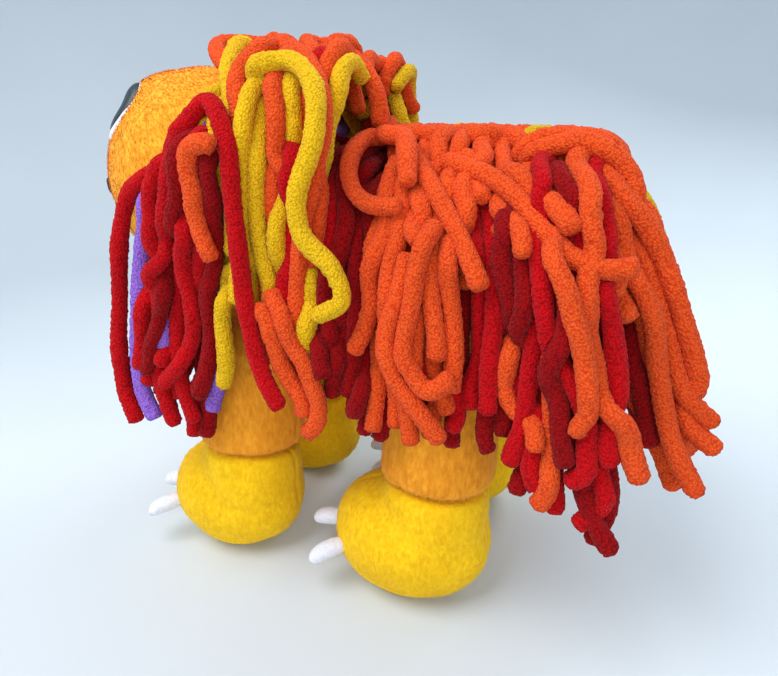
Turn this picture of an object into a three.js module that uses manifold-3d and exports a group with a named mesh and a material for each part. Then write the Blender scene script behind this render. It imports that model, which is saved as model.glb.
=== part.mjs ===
// A stuffed plush animal on four legs, covered in hanging chenille strands.
// Millimetres, +Z up, feet on z = 0, nose towards -Y, the animal's left side towards +X.
import * as THREE from 'three';
import { mergeVertices } from 'three/addons/utils/BufferGeometryUtils.js';
import Module from 'manifold-3d';

const wasm = await Module();
wasm.setup();

// ---- driving dimensions ----
const GAP = 0.4; // between pieces that are sewn face to face
const SIDES = { left: 1, right: -1 };

const HEAD_CENTRE = [0, -63, 150];
const SKULL_RADII = [42, 45, 42];
const BROW = { centre: [0, -76, 176], radii: [26, 20, 14] };
const MUZZLE = { centre: [0, -90, 148], radii: [24, 25, 15] };
const JAW = { centre: [0, -86, 135], radii: [24, 25, 19] };
const EYE_DIRECTION = [0.5, -0.7, 0.5];
const EYE_RISE = 4.5;
const EYE_WHITE_RADII = [9.5, 12.8];
const EYE_PUPIL_RADII = [8, 11.2];

const NECK_PIVOT = [0, -20, 128];
const NECK_RADIUS = 18;
const HEAD_RECESS = 7; // room round the skull in the top of the chest

// distance along the body and the radius of the body there
const TORSO_CENTRE_HEIGHT = 108;
const TORSO_PROFILE = [[-58, 0], [-57, 12], [-50, 25], [-32, 34], [0, 38], [48, 38], [70, 34], [84, 22], [89, 10], [90, 0]];

const HIP_HEIGHT = 88;
const HIP_SPREAD = 24;
const HIP_RADIUS = 21;
const ANKLE_HEIGHT = 46;
const ANKLE_RADIUS = 20;
const LEG_ROOM = 1.2; // between a leg and the body it is set into
const WEB_HALF_WIDTH = 2.2; // the body's seam allowance between the two legs of a pair
const LEG_SWING = THREE.MathUtils.degToRad(16); // the widest swing that the body leaves room for

const FOOT_HALF_WIDTH = 25;
const FOOT_HALF_LENGTH = 31;
const FOOT_AHEAD_OF_ANKLE = 9;
const FOOT_PROFILE = [[3.4, 0.62], [6, 0.77], [10, 0.89], [16, 0.98], [22, 1], [29, 0.96], [35, 0.85], [40, 0.64], [43, 0.4]];
const SOLE_THICKNESS = 3;
const CLAWS = { inner: -38, middle: 0, outer: 38 }; // degrees from straight ahead
const CLAW_LENGTH = 12;
const CLAW_RADIUS = 3.6;
const CLAW_HEIGHT = 18;

// one row for each pair of legs: where the hip is along the body, and the foot's size and spread
const LEG_PAIRS = {
  front: { hipY: -37, footSpread: 31, footScale: 0.93 },
  hind: { hipY: 43, footSpread: 31, footScale: 1 },
};

// the two draped surfaces that the strands hang on: an arc over the ridge, then a flared side
const CAPE = { radius: 48, centreHeight: 150, hemSpread: 58, hemHeight: 60 };
const BLANKET = { radius: 46, centreHeight: 112, hemSpread: 58, hemHeight: 62 };
const FRINGE_THICKNESS = 5;
const SIDE_START = THREE.MathUtils.degToRad(75); // where the top fringe ends and the side fringe starts
const CHEEK_Y = [-76, -34];
const FLANK_Y = [-13, 82];
const CROWN_FRINGE_THICKNESS = 3;
const CROWN_FRONT_Y = -54;
const CROWN_LOW_Z = 164;

const STRAND_DIAMETER = 6.8;
const STRAND_STEP = 11;
const FIRST_LAYER = 4; // a strand's centre above the fringe
const SECOND_LAYER = 11.6; // and of one that lies over others

const GOLDEN = material(0xe59a1e, 0.95);
const YELLOW = material(0xf2c316, 0.95);
const WHITE = material(0xe6e6ec, 0.8);
const DARK = material(0x2c3742, 0.4);
const BLACK = material(0x111111, 0.8);
const RED = material(0xc8101a, 1);
const CRIMSON = material(0x9c0c12, 1);
const ORANGE = material(0xf0642a, 1);
const GOLD = material(0xd2a512, 1);
const LILAC = material(0xa070e0, 1);

const animal = new THREE.Group();

function material(color, roughness) {
  return new THREE.MeshStandardMaterial({ color, roughness, metalness: 0 });
}

function add(name, geometry, look) {
  const mesh = new THREE.Mesh(geometry, look);
  mesh.name = name;
  animal.add(mesh);
}

// ---- solids ----
function toSolid(geometry) {
  const bare = geometry.clone();
  bare.deleteAttribute('normal');
  bare.deleteAttribute('uv');
  const merged = mergeVertices(bare, 1e-4);
  return new wasm.Manifold(new wasm.Mesh({
    numProp: 3,
    vertProperties: new Float32Array(merged.attributes.position.array),
    triVerts: new Uint32Array(merged.index.array),
  }));
}

function toGeometry(solid) {
  const mesh = solid.getMesh();
  const geometry = new THREE.BufferGeometry();
  geometry.setAttribute('position', new THREE.BufferAttribute(mesh.vertProperties, 3));
  geometry.setIndex(new THREE.BufferAttribute(mesh.triVerts, 1));
  geometry.computeVertexNormals();
  return geometry;
}

function ellipsoid(centre, radii, grow = 0) {
  const ball = new THREE.SphereGeometry(1, 20, 14);
  ball.rotateX(Math.PI / 2);
  ball.scale(radii[0] + grow, radii[1] + grow, radii[2] + grow);
  ball.translate(...centre);
  return toSolid(ball);
}

function box(low, high) {
  const size = high.map((value, axis) => value - low[axis]);
  const brick = new THREE.BoxGeometry(...size);
  brick.translate(...high.map((value, axis) => (value + low[axis]) / 2));
  return toSolid(brick);
}

// A turned shape: profile rows are [distance along the axis, radius].
function turned(profile, segments = 16) {
  const points = profile.map(([along, radius]) => new THREE.Vector2(radius, along));
  return new THREE.LatheGeometry(points, segments);
}

function aim(geometry, from, direction) {
  const turn = new THREE.Quaternion().setFromUnitVectors(new THREE.Vector3(0, 1, 0), direction);
  geometry.applyQuaternion(turn);
  geometry.translate(...from);
  return geometry;
}

// ---- head ----
function headSolid(grow) {
  const skull = ellipsoid(HEAD_CENTRE, SKULL_RADII, grow);
  const muzzle = ellipsoid(MUZZLE.centre, MUZZLE.radii, grow);
  const jaw = ellipsoid(JAW.centre, JAW.radii, grow);
  const brow = ellipsoid(BROW.centre, BROW.radii, grow);
  return skull.add(brow).add(muzzle).add(jaw);
}

function addHead() {
  const socket = ellipsoid(NECK_PIVOT, Array(3).fill(NECK_RADIUS + GAP));
  add('head', toGeometry(headSolid(0).subtract(socket)), GOLDEN);
}

// A flat piece sewn onto the head: its outline is pushed through a thin shell of the head.
function sewnOn(outline, towards, inner, outer, shell) {
  const cutter = new THREE.ExtrudeGeometry(outline, { depth: 34, bevelEnabled: false, curveSegments: 24 });
  const start = new THREE.Vector3(...HEAD_CENTRE).addScaledVector(towards, 30);
  const frame = new THREE.Matrix4().lookAt(towards, new THREE.Vector3(), new THREE.Vector3(0, 0, 1));
  cutter.applyMatrix4(frame);
  cutter.translate(start.x, start.y, start.z);
  return toGeometry(shell(outer).subtract(shell(inner)).intersect(toSolid(cutter)));
}

function addEyes() {
  for (const [side, sign] of Object.entries(SIDES)) {
    const towards = new THREE.Vector3(EYE_DIRECTION[0] * sign, EYE_DIRECTION[1], EYE_DIRECTION[2]).normalize();
    const white = new THREE.Shape().absellipse(0, EYE_RISE, ...EYE_WHITE_RADII, 0, 2 * Math.PI);
    const pupil = new THREE.Shape().absellipse(0, EYE_RISE, ...EYE_PUPIL_RADII, 0, 2 * Math.PI);
    add(`eye_white_${side}`, sewnOn(white, towards, GAP, 1.5, headSolid), WHITE);
    add(`eye_pupil_${side}`, sewnOn(pupil, towards, 1.5 + GAP, 2.9, headSolid), DARK);
  }
}

// The mouth is a line of black embroidery, a smile across the front of the muzzle.
function addMouth() {
  const smileRadius = 32;
  const smileHalfAngle = 0.85;
  const lineWidth = 2.2;
  const bottomHeight = MUZZLE.centre[2] - 9;
  const low = -Math.PI / 2 - smileHalfAngle;
  const high = -Math.PI / 2 + smileHalfAngle;
  const smile = new THREE.Shape();
  smile.absarc(0, 0, smileRadius + lineWidth / 2, low, high, false);
  smile.absarc(0, 0, smileRadius - lineWidth / 2, high, low, true);
  const ribbon = new THREE.ExtrudeGeometry(smile, { depth: 40, bevelEnabled: false, curveSegments: 10 });
  ribbon.rotateX(Math.PI / 2);
  ribbon.translate(0, -90, bottomHeight + smileRadius);
  const shell = headSolid(1.3).subtract(headSolid(GAP));
  add('mouth', toGeometry(shell.intersect(toSolid(ribbon))), BLACK);
}

// ---- neck and body ----
function addNeck() {
  const ball = new THREE.SphereGeometry(NECK_RADIUS, 16, 10);
  ball.translate(...NECK_PIVOT);
  add('neck', ball, GOLDEN);
}

function legAxis(pair, sign) {
  const hip = new THREE.Vector3(HIP_SPREAD * sign, pair.hipY, HIP_HEIGHT);
  const ankle = new THREE.Vector3(ankleSpread(pair) * sign, pair.hipY, ANKLE_HEIGHT);
  return { hip, ankle };
}

function ankleSpread(pair) {
  return pair.footSpread;
}

// A leg is a stuffed tube with a round top, from the ankle up to the hip.
function legGeometry(pair, sign, grow) {
  const { hip, ankle } = legAxis(pair, sign);
  const length = hip.distanceTo(ankle);
  const profile = [[0, 0], [0, ANKLE_RADIUS + grow], [length * 0.5, (ANKLE_RADIUS + HIP_RADIUS) / 2 + grow]];
  for (let step = 0; step <= 6; step += 1) {
    const angle = (Math.PI / 2) * (step / 6);
    const radius = HIP_RADIUS + grow;
    profile.push([length + radius * Math.sin(angle), radius * Math.cos(angle)]);
  }
  profile[profile.length - 1][1] = 0;
  return aim(turned(profile), ankle, hip.clone().sub(ankle).normalize());
}

// The room in the body for one leg: a round socket at the hip, and a fan below it for the swing.
function legRoom(pair, sign) {
  const { hip } = legAxis(pair, sign);
  const radius = HIP_RADIUS + LEG_ROOM;
  const drop = 30;
  const spread = radius + drop * Math.tan(LEG_SWING);
  const corners = [[-radius, 0], [-spread, -drop], [spread, -drop], [radius, 0]];
  const outline = new THREE.Shape(corners.map(([y, z]) => new THREE.Vector2(y, z)));
  const fan = new THREE.ExtrudeGeometry(outline, { depth: 50, bevelEnabled: false });
  fan.rotateX(Math.PI / 2);
  fan.rotateZ(Math.PI / 2);
  fan.translate(sign > 0 ? WEB_HALF_WIDTH : -WEB_HALF_WIDTH - 50, hip.y, hip.z);
  return ellipsoid(hip.toArray(), Array(3).fill(radius)).add(toSolid(fan));
}

function addTorso() {
  const barrel = turned(TORSO_PROFILE, 24);
  barrel.translate(0, 0, TORSO_CENTRE_HEIGHT);
  let torso = toSolid(barrel);
  torso = torso.subtract(ellipsoid(HEAD_CENTRE, SKULL_RADII, HEAD_RECESS));
  torso = torso.subtract(ellipsoid(NECK_PIVOT, Array(3).fill(NECK_RADIUS + GAP)));
  for (const pair of Object.values(LEG_PAIRS)) {
    for (const sign of Object.values(SIDES)) {
      torso = torso.subtract(legRoom(pair, sign));
    }
  }
  add('torso', toGeometry(torso), GOLDEN);
}

// ---- legs and feet ----
function footPiece(profile, pair, sign) {
  const shape = turned([[profile[0][0], 0], ...profile, [profile.at(-1)[0], 0]], 24);
  shape.rotateX(Math.PI / 2);
  shape.scale(FOOT_HALF_WIDTH, FOOT_HALF_LENGTH, 1);
  shape.scale(pair.footScale, pair.footScale, 1);
  shape.translate(pair.footSpread * sign, footCentreY(pair), 0);
  return toSolid(shape);
}

function footCentreY(pair) {
  return pair.hipY - FOOT_AHEAD_OF_ANKLE * pair.footScale;
}

function footSolid(pair, sign) {
  const { hip, ankle } = legAxis(pair, sign);
  const down = ankle.clone().sub(hip).normalize();
  const heel = turned([[GAP, 0], [GAP, ANKLE_RADIUS], [10, ANKLE_RADIUS + 0.5], [20, ANKLE_RADIUS - 1], [34, 10], [36, 0]]);
  const floorCut = box([-100, -100, SOLE_THICKNESS + GAP], [100, 100, 60]);
  return footPiece(FOOT_PROFILE, pair, sign).add(toSolid(aim(heel, ankle, down))).intersect(floorCut);
}

function addClaws(pairName, pair, side, sign, foot) {
  const profile = [[0, 0], [0, 3], [3, CLAW_RADIUS], [CLAW_LENGTH - 2.5, CLAW_RADIUS - 0.6], [CLAW_LENGTH, 0]];
  for (const [place, degrees] of Object.entries(CLAWS)) {
    const angle = THREE.MathUtils.degToRad(degrees) * sign;
    const across = FOOT_HALF_WIDTH * pair.footScale;
    const along = FOOT_HALF_LENGTH * pair.footScale;
    const outward = new THREE.Vector3(Math.sin(angle) / across, -Math.cos(angle) / along, 0).normalize();
    const base = new THREE.Vector3(across * Math.sin(angle), -along * Math.cos(angle), CLAW_HEIGHT);
    base.add(new THREE.Vector3(pair.footSpread * sign, footCentreY(pair), 0)).addScaledVector(outward, GAP);
    const claw = toSolid(aim(turned(profile, 8), base, outward)).subtract(foot);
    add(`claw_${pairName}_${side}_${place}`, toGeometry(claw), WHITE);
  }
}

function addLegs() {
  const soleProfile = [[0, 0.5], [SOLE_THICKNESS, 0.6]];
  for (const [pairName, pair] of Object.entries(LEG_PAIRS)) {
    for (const [side, sign] of Object.entries(SIDES)) {
      const foot = footSolid(pair, sign);
      add(`leg_${pairName}_${side}`, legGeometry(pair, sign, 0), GOLDEN);
      add(`foot_${pairName}_${side}`, toGeometry(foot), YELLOW);
      add(`sole_${pairName}_${side}`, toGeometry(footPiece(soleProfile, pair, sign)), YELLOW);
      addClaws(pairName, pair, side, sign, foot);
    }
  }
}

// ---- draped surfaces ----
// A place on a draped surface: y along the body, reach down over the side from the ridge, and lift off it.
function onDrape(drape, y, reach, lift) {
  const arc = (drape.radius * Math.PI) / 2;
  const flare = new THREE.Vector2(drape.hemSpread - drape.radius, drape.hemHeight - drape.centreHeight).normalize();
  const angle = Math.min(reach, arc) / drape.radius;
  const past = Math.max(reach - arc, 0);
  const outward = past > 0 ? new THREE.Vector2(-flare.y, flare.x) : new THREE.Vector2(Math.sin(angle), Math.cos(angle));
  const x = drape.radius * Math.sin(angle) + flare.x * past + outward.x * lift;
  const z = drape.centreHeight + drape.radius * Math.cos(angle) + flare.y * past + outward.y * lift;
  return new THREE.Vector3(x, y, z);
}

const onHead = (y, reach, lift = FIRST_LAYER) => onDrape(CAPE, y, reach, lift);
const onBody = (y, reach, lift = FIRST_LAYER) => onDrape(BLANKET, y, reach, lift);
const at = (x, y, z) => new THREE.Vector3(x, y, z);

// A slab of fringe that follows a draped surface between two reaches, for a stretch of the body.
function fringeSlab(drape, fromReach, toReach, [startY, endY], sign) {
  const steps = 8;
  const outer = [];
  const inner = [];
  for (let step = 0; step <= steps; step += 1) {
    const reach = fromReach + ((toReach - fromReach) * step) / steps;
    outer.push(onDrape(drape, 0, Math.abs(reach), 0).multiply(at(Math.sign(reach) || 1, 1, 1)));
    inner.push(onDrape(drape, 0, Math.abs(reach), -FRINGE_THICKNESS).multiply(at(Math.sign(reach) || 1, 1, 1)));
  }
  const outline = [...outer, ...inner.reverse()].map((point) => new THREE.Vector2(point.x * sign, point.z));
  const slab = new THREE.ExtrudeGeometry(new THREE.Shape(outline), { depth: endY - startY, bevelEnabled: false });
  slab.rotateX(Math.PI / 2);
  slab.translate(0, endY, 0);
  return slab;
}

function hemReach(drape) {
  const flare = Math.hypot(drape.hemSpread - drape.radius, drape.centreHeight - drape.hemHeight);
  return (drape.radius * Math.PI) / 2 + flare;
}

function addFringes() {
  for (const [side, sign] of Object.entries(SIDES)) {
    const cheek = fringeSlab(CAPE, CAPE.radius * SIDE_START, hemReach(CAPE), CHEEK_Y, sign);
    const flank = fringeSlab(BLANKET, BLANKET.radius * SIDE_START, hemReach(BLANKET), FLANK_Y, sign);
    add(`cheek_fringe_${side}`, cheek, RED);
    add(`flank_fringe_${side}`, flank, CRIMSON);
  }
  const topEnd = BLANKET.radius * SIDE_START - GAP;
  add('spine_fringe', fringeSlab(BLANKET, -topEnd, topEnd, FLANK_Y, 1), ORANGE);
  const shell = ellipsoid(HEAD_CENTRE, SKULL_RADII, CROWN_FRINGE_THICKNESS).subtract(ellipsoid(HEAD_CENTRE, SKULL_RADII, GAP));
  add('crown_fringe', toGeometry(shell.intersect(box([-60, CROWN_FRONT_Y, CROWN_LOW_Z], [60, 20, 220]))), ORANGE);
}

// The fringe that hangs behind the body and kicks outwards at its hem; rows are [y, z].
function addRumpFringe() {
  const halfWidth = 25;
  const outer = [[84, 152], [94, 139], [101, 122], [106, 105], [112, 86], [115, 78]];
  const inner = [[115, 58], [106, 83], [100, 102], [95, 119], [89, 134], [83, 142]];
  const outline = new THREE.Shape([...outer, ...inner].map(([y, z]) => new THREE.Vector2(y, z)));
  const fringe = new THREE.ExtrudeGeometry(outline, { depth: 2 * halfWidth, bevelEnabled: false });
  fringe.rotateX(Math.PI / 2);
  fringe.rotateZ(Math.PI / 2);
  fringe.translate(-halfWidth, 0, 0);
  add('rump_fringe', fringe, ORANGE);
}

// ---- strands ----
// Each strand is listed from its sewn end to its cut end.
const STRANDS = [
  ['strand_cheek_red_1', RED, [onHead(-55, 71), onHead(-63, 77), onHead(-69, 94), onHead(-71, 115),
    onHead(-73, 132), onHead(-72, 148), onHead(-67, 162)]],
  ['strand_cheek_lilac', LILAC, [onHead(-56, 80), onHead(-60, 102), onHead(-62.5, 119),
    onHead(-64, 134), onHead(-63, 149), onHead(-58, 159)]],
  ['strand_cheek_red_2', RED, [onHead(-44, 64), onHead(-47, 82), onHead(-51, 97), onHead(-53.5, 115),
    onHead(-55, 132), onHead(-54, 146), onHead(-49, 160)]],
  ['strand_cheek_red_3', RED, [onHead(-35, 62), onHead(-38, 80), onHead(-42, 97), onHead(-44.5, 112),
    onHead(-46, 128), onHead(-45, 143), onHead(-40, 157)]],
  ['strand_cheek_red_long', RED, [onHead(-36, 60, SECOND_LAYER), onHead(-27, 52, SECOND_LAYER),
    onHead(-19, 60, SECOND_LAYER), onHead(-16, 78, SECOND_LAYER), onHead(-14, 96, SECOND_LAYER),
    onHead(-11, 116, SECOND_LAYER), onHead(-6, 132, SECOND_LAYER), onHead(0, 142, SECOND_LAYER)]],
  ['strand_mane_gold_1', GOLD, [onHead(-33, 24), onHead(-30, 36), onHead(-24, 49), onHead(-22, 63),
    onHead(-21.5, 79), onHead(-22, 95)]],
  ['strand_mane_gold_2', GOLD, [onHead(-12, 42, SECOND_LAYER), onHead(-2, 41, SECOND_LAYER),
    onHead(8, 48, SECOND_LAYER), onHead(11, 60, SECOND_LAYER), onHead(6, 74, SECOND_LAYER),
    onHead(8, 86, SECOND_LAYER), onHead(18, 95, SECOND_LAYER), onHead(21, 104, SECOND_LAYER),
    onHead(12, 110, SECOND_LAYER)]],
  ['strand_mane_gold_3', GOLD, [onHead(-13, 50), onHead(-12, 64), onHead(-12.5, 79), onHead(-11, 93),
    onHead(-8, 105), onHead(-9.5, 118)]],
  ['strand_mane_orange', ORANGE, [onHead(-20, 22), onHead(-8, 29), onHead(3, 40), onHead(9, 54),
    onHead(8, 69), onHead(4, 83), onHead(2.5, 97), onHead(1.5, 111), onHead(0, 125)]],
  ['strand_crown_loop_front', ORANGE, [at(24, -30, 183), at(19, -44, 192), at(10, -51, 197.5), at(1, -45, 199),
    at(-3, -35, 196), at(-4, -25, 188)]],
  ['strand_crown_loop_back', ORANGE, [at(14, -19, 183), at(10, -14, 192), at(8, -5, 194.5), at(9, 5, 190),
    at(12, 12, 181), at(14, 14, 170)]],
  ['strand_flank_crimson', CRIMSON, [onBody(15, 34), onBody(18, 50), onBody(20, 66), onBody(20, 82), onBody(19, 98)]],
  ['strand_flank_orange_1', ORANGE, [onBody(28, 30), onBody(33, 48), onBody(36, 64), onBody(37, 79),
    onBody(39, 95), onBody(42, 110)]],
  ['strand_flank_orange_2', ORANGE, [onBody(42, 38), onBody(46, 54), onBody(46, 69), onBody(47, 84), onBody(53, 98)]],
  ['strand_flank_red_1', RED, [onBody(57, 34), onBody(62, 50), onBody(64, 65), onBody(64, 81), onBody(65, 96)]],
  ['strand_flank_red_2', RED, [onBody(68, 40), onBody(74, 53), onBody(76, 67), onBody(76, 82),
    onBody(75.5, 97), onBody(73, 110)]],
  ['strand_back_orange_long', ORANGE, [onBody(44, 26, SECOND_LAYER), onBody(56, 30, SECOND_LAYER),
    onBody(66, 36, SECOND_LAYER), onBody(75, 44, SECOND_LAYER), onBody(84, 50, SECOND_LAYER),
    onBody(93, 52, SECOND_LAYER), onBody(101, 51, SECOND_LAYER)]],
  ['strand_back_orange_short', ORANGE, [onBody(24, 14, SECOND_LAYER), onBody(34, 27, SECOND_LAYER),
    onBody(45, 39, SECOND_LAYER), onBody(54, 49, SECOND_LAYER), onBody(61, 59, SECOND_LAYER)]],
  ['strand_rump_orange_1', ORANGE, [at(8, 52, 163.5), at(12, 70, 162.5), at(15, 84, 160), at(16, 94, 150),
    at(17, 102, 136), at(18, 107, 123), at(18, 112, 116), at(18, 119, 112)]],
  ['strand_rump_orange_2', ORANGE, [at(24, 70, 158), at(29.5, 86, 154), at(32.5, 98, 141.5), at(33, 106, 127),
    at(33, 113, 111), at(34, 119, 97), at(34, 129, 88)]],
  ['strand_rump_red', CRIMSON, [onBody(84, 48), onBody(86, 66), onBody(88, 82), onBody(90, 97),
    onBody(94, 111), onBody(99, 122), onBody(105, 130)]],
];

function strandGeometry(points) {
  const route = new THREE.CatmullRomCurve3(points);
  const sides = 8;
  const section = new THREE.Shape();
  for (let side = 0; side < sides; side += 1) {
    const angle = (2 * Math.PI * side) / sides;
    const corner = new THREE.Vector2(Math.cos(angle), Math.sin(angle)).multiplyScalar(STRAND_DIAMETER / 2);
    if (side === 0) section.moveTo(corner.x, corner.y);
    else section.lineTo(corner.x, corner.y);
  }
  const steps = Math.ceil(route.getLength() / STRAND_STEP);
  return new THREE.ExtrudeGeometry(section, { steps, extrudePath: route, bevelEnabled: false });
}

function addStrands() {
  for (const [name, look, points] of STRANDS) {
    add(name, strandGeometry(points), look);
  }
}

addTorso();
addNeck();
addHead();
addEyes();
addMouth();
addLegs();
addFringes();
addRumpFringe();
addStrands();

export default animal;
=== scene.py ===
"""A stuffed plush animal with a coat of chenille strands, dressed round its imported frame.

Lengths are in millimetres until a mesh or an object is made. The animal looks along -Y.
"""
import math

import bmesh
import bpy
import numpy as np
from mathutils import Matrix, Vector, kdtree, noise


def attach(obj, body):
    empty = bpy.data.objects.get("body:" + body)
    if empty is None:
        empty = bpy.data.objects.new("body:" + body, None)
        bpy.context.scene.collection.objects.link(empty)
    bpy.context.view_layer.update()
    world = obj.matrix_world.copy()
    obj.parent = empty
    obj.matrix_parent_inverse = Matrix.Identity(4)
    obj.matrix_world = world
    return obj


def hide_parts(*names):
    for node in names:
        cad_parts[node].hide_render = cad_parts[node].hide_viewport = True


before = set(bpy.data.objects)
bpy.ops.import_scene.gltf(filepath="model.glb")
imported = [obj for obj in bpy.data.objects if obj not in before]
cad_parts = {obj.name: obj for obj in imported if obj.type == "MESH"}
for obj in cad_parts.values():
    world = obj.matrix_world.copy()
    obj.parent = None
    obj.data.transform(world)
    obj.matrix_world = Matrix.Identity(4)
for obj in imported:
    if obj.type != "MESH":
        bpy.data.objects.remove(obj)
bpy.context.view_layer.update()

MM = 0.001
SIDES = {"left": 1, "right": -1}

# ---- the design's own sizes, in millimetres ----
HEAD_CENTRE = Vector((0, -63, 150))
SKULL_RADII = Vector((42, 45, 42))
BROW = (Vector((0, -76, 176)), Vector((26, 20, 14)))
MUZZLE = (Vector((0, -90, 148)), Vector((24, 25, 15)))
JAW = (Vector((0, -86, 135)), Vector((24, 25, 19)))
EYE_DIRECTION = (0.5, -0.7, 0.5)
EYE_RISE = 4.5
EYE_OUTWARD = 2
SMILE_LOW = 139
SMILE_RADIUS = 32
SMILE_REACH = 24
NECK_PIVOT = Vector((0, -20, 128))
TORSO_HEIGHT = 108
HIP_HEIGHT = 88
HIP_SPREAD = 24
ANKLE_HEIGHT = 46
FOOT_HALF_WIDTH = 25
FOOT_HALF_LENGTH = 31
FOOT_AHEAD_OF_ANKLE = 9
LEG_PAIRS = {
    "front": {"hip_y": -37, "spread": 31, "scale": 0.93},
    "hind": {"hip_y": 43, "spread": 31, "scale": 1},
}
# The coat hangs over two draped surfaces, one on the head and one on the body.
CAPE = {"radius": 48, "centre": 150, "hem_spread": 58, "hem_height": 60}
BLANKET = {"radius": 46, "centre": 112, "hem_spread": 58, "hem_height": 62}
INNER = 4  # a strand's centre above the draped surface
OUTER = 11.6  # and the centre of a strand that lies over others

# ---- colours, linear ----
# Each colour is a tuft's own colour and a darker copy of it, painted into the gaps between tufts as shade.
COLOURS = {
    "red": ((0.74, 0.003, 0.008), (0.36, 0.001, 0.003)),
    "crimson": ((0.42, 0.002, 0.004), (0.18, 0.001, 0.002)),
    "orange": ((1.0, 0.125, 0.020), (0.68, 0.050, 0.008)),
    "gold": ((1.0, 0.62, 0.012), (0.70, 0.37, 0.005)),
    "lilac": ((0.42, 0.20, 0.80), (0.22, 0.09, 0.50)),
    # A second copy of gold for strands on the far side, standing for gold in full light: painted light.
    "sunny": ((0.95, 0.62, 0.015), (0.62, 0.34, 0.006)),
}


# ---- camera, light and floor ----
def add_camera():
    target = Vector((0, 12, 87.5)) * MM
    position = Vector((215.9, 94.9, 176.3)) * MM
    camera = bpy.data.objects.new("camera", bpy.data.cameras.new("camera"))
    camera.data.lens = 27.8
    camera.data.sensor_width = 36
    camera.data.clip_start = 0.01
    camera.location = position
    camera.rotation_euler = (target - position).to_track_quat("-Z", "Y").to_euler()
    bpy.context.collection.objects.link(camera)
    bpy.context.scene.camera = camera


def add_area_light(name, position, target, size, power, colour=(1, 1, 1)):
    light = bpy.data.lights.new(name, "AREA")
    light.shape = "DISK"
    light.size = size
    light.energy = power
    light.color = colour
    lamp = bpy.data.objects.new(name, light)
    lamp.location = position
    lamp.rotation_euler = (Vector(target) - Vector(position)).to_track_quat("-Z", "Y").to_euler()
    bpy.context.collection.objects.link(lamp)


def add_lights():
    add_area_light("key_light", (0.35, -0.25, 0.75), (0, 0, 0.08), 0.6, 5.5)
    add_area_light("fill_light", (0.75, 0.35, 0.35), (0, 0, 0.08), 0.7, 3.0, (1, 0.98, 0.96))
    add_area_light("back_light", (-0.5, 0.3, 0.55), (0, 0, 0.1), 0.5, 3.0, (0.93, 0.97, 1))
    world = bpy.data.worlds.new("studio")
    world.use_nodes = True
    background = world.node_tree.nodes["Background"]
    background.inputs["Color"].default_value = (0.78, 0.88, 0.97, 1)
    background.inputs["Strength"].default_value = 0.62
    bpy.context.scene.world = world
    bpy.context.scene.view_settings.view_transform = "Standard"


def add_floor():
    """A pale sweep: a flat floor that curves up into a backdrop far behind the animal, in metres."""
    mesh = bpy.data.meshes.new("studio_floor")
    shape = bmesh.new()
    rings, spokes = 24, 64
    flat, far, rise, drop = 0.55, 1.5, 1.25, 0.0004
    rows = []
    for ring in range(rings + 1):
        share = ring / rings
        radius = far * share
        height = rise * max(0, (radius - flat) / (far - flat)) ** 2
        row = []
        for spoke in range(spokes):
            angle = 2 * math.pi * spoke / spokes
            row.append(shape.verts.new((radius * math.cos(angle), radius * math.sin(angle), height - drop)))
        rows.append(row)
    for inner, outer in zip(rows[1:], rows[2:]):
        for k in range(spokes):
            n = (k + 1) % spokes
            shape.faces.new((inner[k], outer[k], outer[n], inner[n]))
    shape.faces.new(rows[1])
    shape.verts.ensure_lookup_table()
    bmesh.ops.delete(shape, geom=[v for v in shape.verts if not v.link_faces], context="VERTS")
    shape.to_mesh(mesh)
    shape.free()
    mesh.shade_smooth()
    floor = bpy.data.objects.new("studio_floor", mesh)
    bpy.context.collection.objects.link(floor)
    mesh.materials.append(floor_material())


# ---- materials ----
def new_material(name):
    material = bpy.data.materials.new(name)
    material.use_nodes = True
    tree = material.node_tree
    shader = tree.nodes["Principled BSDF"]
    return material, tree, shader


def set_inputs(node, values):
    for name, value in values.items():
        node.inputs[name].default_value = value


def grey(value):
    return (value, value, value)


def place_texture(tree, scale=(1, 1, 1)):
    """The object's own coordinates, scaled along each axis."""
    coords = tree.nodes.new("ShaderNodeTexCoord")
    mapping = tree.nodes.new("ShaderNodeMapping")
    mapping.inputs["Scale"].default_value = scale
    tree.links.new(coords.outputs["Object"], mapping.inputs["Vector"])
    return mapping.outputs["Vector"]


def noise_node(tree, vector, scale, detail=3.0, roughness=0.55):
    node = tree.nodes.new("ShaderNodeTexNoise")
    set_inputs(node, {"Scale": scale, "Detail": detail, "Roughness": roughness})
    tree.links.new(vector, node.inputs["Vector"])
    return node.outputs["Fac"]


def cells_node(tree, vector, scale):
    """Distance from the middle of the nearest tuft."""
    node = tree.nodes.new("ShaderNodeTexVoronoi")
    node.inputs["Scale"].default_value = scale
    tree.links.new(vector, node.inputs["Vector"])
    return node.outputs["Distance"]


def ramp(tree, value, low, high, dark, light):
    node = tree.nodes.new("ShaderNodeValToRGB")
    for stop, place, colour in zip(node.color_ramp.elements, (low, high), (dark, light)):
        stop.position = place
        stop.color = (*colour, 1)
    tree.links.new(value, node.inputs["Fac"])
    return node.outputs["Color"]


def multiply(tree, first, second, share):
    node = tree.nodes.new("ShaderNodeMix")
    node.data_type = "RGBA"
    node.blend_type = "MULTIPLY"
    node.inputs["Factor"].default_value = share
    tree.links.new(first, node.inputs["A"])
    tree.links.new(second, node.inputs["B"])
    return node.outputs["Result"]


def bump(tree, shader, height, distance, strength):
    node = tree.nodes.new("ShaderNodeBump")
    set_inputs(node, {"Distance": distance, "Strength": strength})
    tree.links.new(height, node.inputs["Height"])
    tree.links.new(node.outputs["Normal"], shader.inputs["Normal"])


def soft_shader(shader, sheen, tint):
    set_inputs(shader, {"Roughness": 0.95, "Specular IOR Level": 0.12, "Sheen Weight": sheen,
                        "Sheen Roughness": 0.45, "Sheen Tint": (*tint, 1)})


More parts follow.
